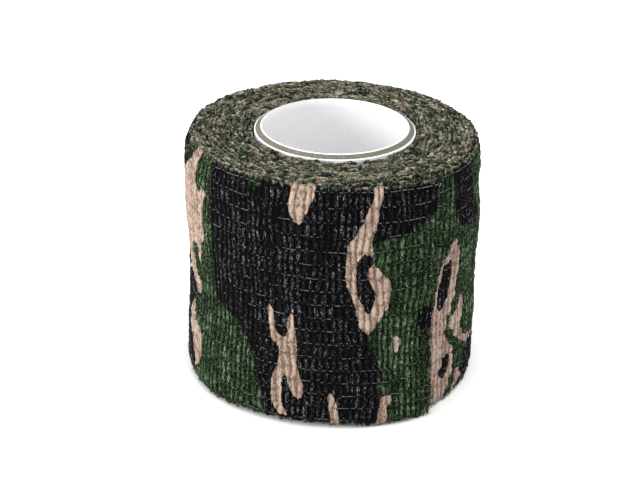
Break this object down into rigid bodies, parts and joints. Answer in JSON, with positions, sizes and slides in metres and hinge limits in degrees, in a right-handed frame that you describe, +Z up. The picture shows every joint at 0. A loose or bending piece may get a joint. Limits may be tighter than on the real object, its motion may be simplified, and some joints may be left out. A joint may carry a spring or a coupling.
{
  "type": "self-clinging wrap tape roll",
  "caption": "Roll of crinkled self-clinging fabric tape in a woodland pattern, wound on a spiral paper core, with a free end that peels away.",
  "frame": {"origin": "centre of the roll's foot, on the core's axis, with the roll standing on end", "axes": "+Z up along the core's axis; -Y towards the side on which the free end is peeled, with the cut end at 50 degrees from +X towards -Y"},
  "size_m": [0.0582, 0.0586, 0.0509],
  "materials": {
    "liner_paper": "matte",
    "core_board": "matte",
    "web_fabric": "matte",
    "elastic_thread": "matte"
  },
  "bodies": {
    "roll": {"core_inner_liner": "liner_paper", "core_board_ply_inner": "core_board", "core_board_ply_outer": "core_board", "core_outer_liner": "liner_paper", "tape_web": "web_fabric", "elastic_thread_01": "elastic_thread", "elastic_thread_02": "elastic_thread", "elastic_thread_03": "elastic_thread", "elastic_thread_04": "elastic_thread", "elastic_thread_05": "elastic_thread", "elastic_thread_06": "elastic_thread", "elastic_thread_07": "elastic_thread", "elastic_thread_08": "elastic_thread", "elastic_thread_09": "elastic_thread", "elastic_thread_10": "elastic_thread", "elastic_thread_11": "elastic_thread", "elastic_thread_12": "elastic_thread", "elastic_thread_13": "elastic_thread", "elastic_thread_14": "elastic_thread", "elastic_thread_15": "elastic_thread", "elastic_thread_16": "elastic_thread", "elastic_thread_17": "elastic_thread", "elastic_thread_18": "elastic_thread"},
    "flap_root": {"tape_flap_1": "web_fabric"},
    "flap_middle": {"tape_flap_2": "web_fabric"},
    "flap_end": {"tape_flap_3": "web_fabric"}
  },
  "joints": [
    {"name": "peel", "type": "hinge", "parent": "roll", "child": "flap_root", "pos_m": [-0.00715, -0.02869, 0.0256], "axis": [0, 0, -1], "range_deg": [0, 120]},
    {"name": "uncurl_middle", "type": "hinge", "parent": "flap_root", "child": "flap_middle", "pos_m": [0.00206, -0.02954, 0.0256], "axis": [0, 0, -1], "range_deg": [0, 18]},
    {"name": "uncurl_end", "type": "hinge", "parent": "flap_middle", "child": "flap_end", "pos_m": [0.01111, -0.02749, 0.0256], "axis": [0, 0, -1], "range_deg": [0, 18]}
  ],
  "couplings": [
    {"joint": "uncurl_middle", "follows": "peel", "ratio": 0.15},
    {"joint": "uncurl_end", "follows": "peel", "ratio": 0.15}
  ]
}
